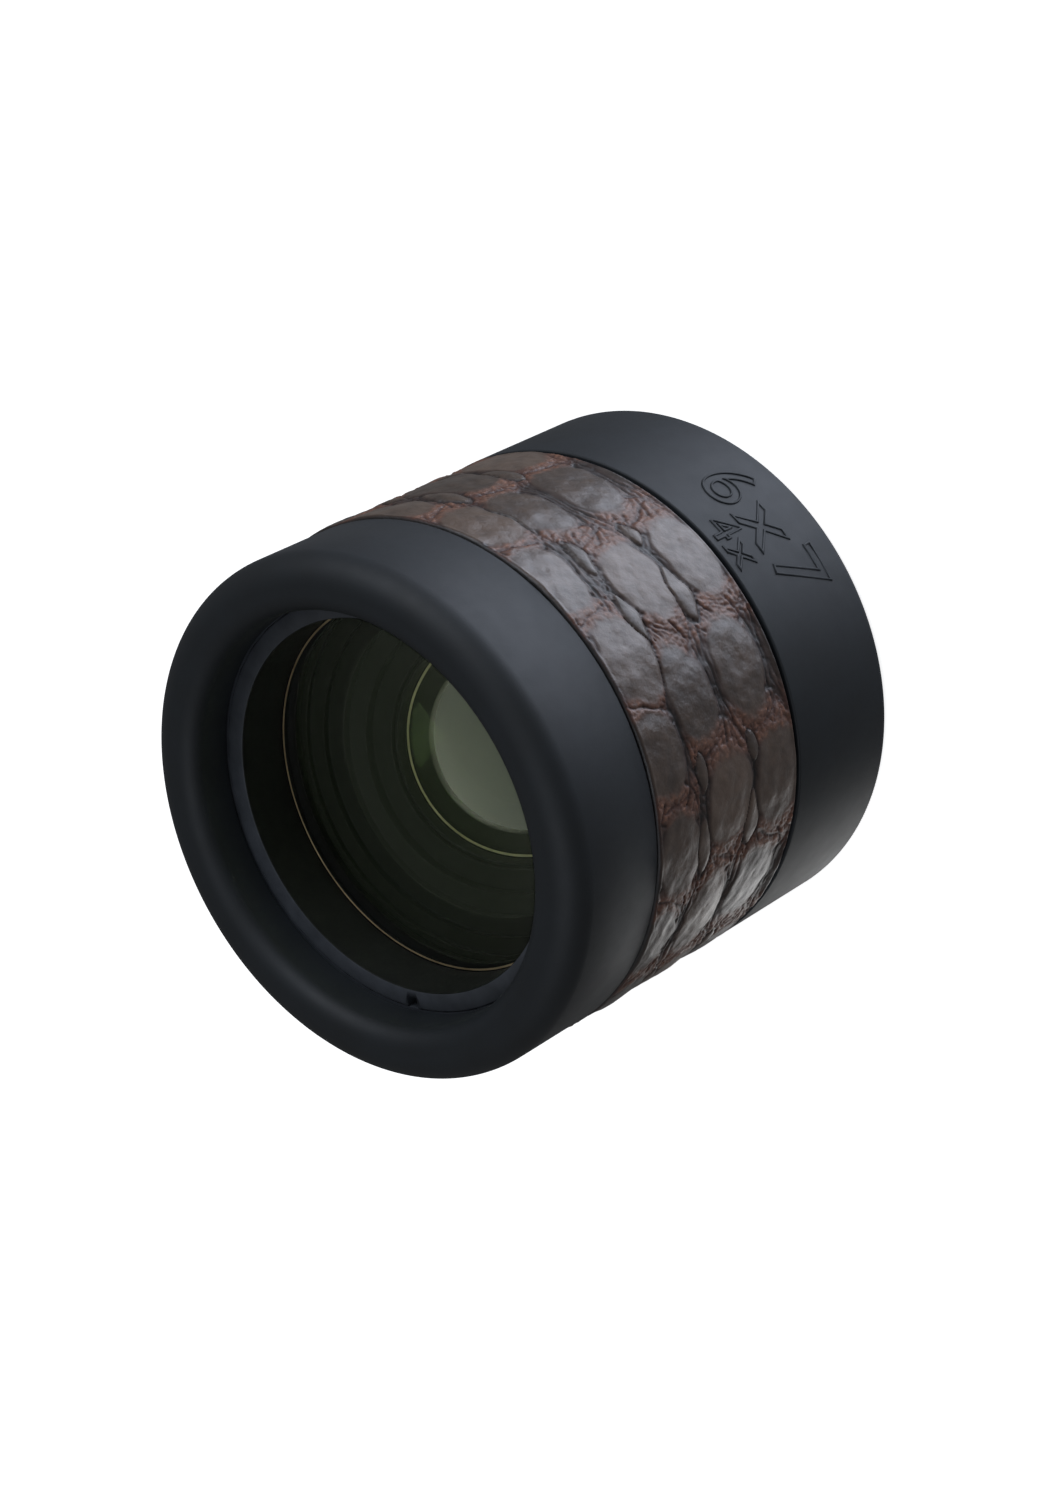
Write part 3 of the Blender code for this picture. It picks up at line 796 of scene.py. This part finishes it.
def optics(baffle):
    """The three groups of lenses; the eye and field doublets have blackened edges."""
    crown_edge = ground_glass_edge("ground_crown_glass_edge", ("#8f7c5c", "#cdb98f"))
    flint_edge = ground_glass_edge("ground_flint_glass_edge", ("#b9bd84", "#e2e2ae"))
    front_glass = coated_glass("magenta_green_coated_crown", "#f4f4ec", "#8fb07a", 0.35)
    inner_glass = coated_glass("green_coated_flint", "#dfe3d6", "#9fc07f", 0.5)
    hazy_glass = coated_glass("green_coated_field_glass", "#ecefe4", "#9fc07f", 0.6, 0.35)
    lens("eye_doublet", (54.8, 75.0), (41.8, -200.0), LENS_R, EYE_CLEAR_R, front_glass, crown_edge, baffle,
         "eye_lens_front", "eye_lens_rear")
    lens("middle_lens_glass", (35.7, 60.0), (32.2, -60.0), MIDDLE_LENS_R, MIDDLE_CLEAR_R,
         inner_glass, flint_edge, inner_glass, "middle_lens")
    lens("field_doublet", (26.9, -150.0), (levels("field_lens_rear")[1], -120.0), LENS_R, FIELD_CLEAR_R,
         hazy_glass, crown_edge, baffle, "field_lens_front", "field_lens_rear")


# ---- everything turned ----------------------------------------------------------------
def fine_turned(material, *nodes):
    """Turn CAD nodes again with round sides and broken edges."""
    for node in nodes:
        outline = eased(cad_outline(node), EDGE_BREAK)
        stands_for(turned(f"{node}_turned", outline, material, FINE_SIDES), node)


def build_object():
    """Every piece of the loupe, from the soft outside to the screws inside."""
    rubber = soft_touch_rubber()
    anodised = black_anodised()
    baffle = baffle_black()
    bare = turned_aluminium()
    steel = machined_steel()
    brass = turned_brass()
    crocodile_wrap()
    eyecup(rubber)
    base_cover(rubber)
    raised_mark(rubber)
    eye_ring(anodised, baffle)
    optics(baffle)
    fine_turned(baffle, "spacer_front", "middle_mount", "middle_retaining_ring", "spacer_rear")
    fine_turned(anodised, "base_skirt", "field_retaining_ring")
    fine_turned(bare, "base_ring")
    fine_turned(moulded_nylon(), "foot_ring")
    fine_turned(seal_rubber(), "base_o_ring")
    fine_turned(ptfe(), "damping_washer")
    restyle(anodised, "guide_tube", "cam_tube", "cell_tube")
    restyle(bare, "barrel_sleeve", "focus_core")
    restyle(steel, "retaining_clip", *(f"{kind}_screw_{i}" for kind in ("sleeve", "cam") for i in (1, 2, 3)))
    restyle(brass, *(f"cam_follower_{i}" for i in (1, 2, 3)))


# ---- floor and light ------------------------------------------------------------------
def add_floor():
    """Pale floor that the camera sees; it neither blocks nor reflects the studio lights."""
    bm = bmesh.new()
    bmesh.ops.create_grid(bm, x_segments=1, y_segments=1, size=3000.0)
    material = new_material("pale_floor", {
        "Base Color": srgb("#f4f4f4"), "Roughness": 0.9,
        "Emission Color": srgb("#ffffff"), "Emission Strength": 0.85,
    })[0]
    floor = mesh_object("floor", bm, material)
    floor.location.z = -0.0002
    floor.visible_glossy = False
    floor.visible_diffuse = False
    floor.visible_shadow = False
    floor.visible_transmission = False


LIGHTS_AIM = Vector((0, 0, 35.0))


def add_softbox(name, towards, distance, size, brightness, colour="#ffffff"):
    """Square soft light that aims at the middle of the loupe."""
    data = bpy.data.lights.new(name, 'AREA')
    data.shape = 'SQUARE'
    data.size = size * MM
    data.energy = brightness * math.pi * (size * MM) ** 2
    data.color = srgb(colour)[:3]
    light = bpy.data.objects.new(name, data)
    scene.collection.objects.link(light)
    direction = Vector(towards).normalized()
    turn = direction.to_track_quat('Z', 'Y').to_matrix().to_4x4()
    light.matrix_world = Matrix.Translation((LIGHTS_AIM + direction * distance) * MM) @ turn
    light.visible_camera = False


def add_lights():
    """Dim world that the camera sees as white, four softboxes and a light table."""
    world = bpy.data.worlds.new("studio")
    world.use_nodes = True
    scene.world = world
    tree = world.node_tree
    background = tree.nodes["Background"]
    background.inputs["Color"].default_value = srgb("#ffffff")
    background.inputs["Strength"].default_value = 0.15
    sky = add_node(tree, "ShaderNodeBackground", {"Color": srgb("#ffffff"), "Strength": 1.0})
    path = add_node(tree, "ShaderNodeLightPath")
    mix = add_node(tree, "ShaderNodeMixShader", {
        0: path.outputs["Is Camera Ray"], 1: background.outputs["Background"], 2: sky.outputs["Background"],
    })
    tree.links.new(mix.outputs["Shader"], tree.nodes["World Output"].inputs["Surface"])
    # the key stands behind the loupe's base in the view and skims its upper right side
    add_softbox("key", (0.435, -0.557, -0.707), 500.0, 450.0, 3.8, "#e6eeff")
    add_softbox("top", VIEW_UP * 0.85 + Vector((0, 0, 0.75)), 700.0, 500.0, 3.0, "#eef4ff")
    add_softbox("front", (-0.5, -0.2, 1.0), 700.0, 400.0, 1.6, "#eef4ff")
    add_softbox("bounce", (-0.69, 0.09, -0.72), 90.0, 40.0, 1.7)
    # a light table under the foot shines up into the open base
    add_softbox("light_table", (0, 0, -1), 40.0, 46.0, 3.8, "#fbfff4")
    scene.view_settings.view_transform = 'Standard'


add_camera()
build_object()
add_floor()
add_lights()
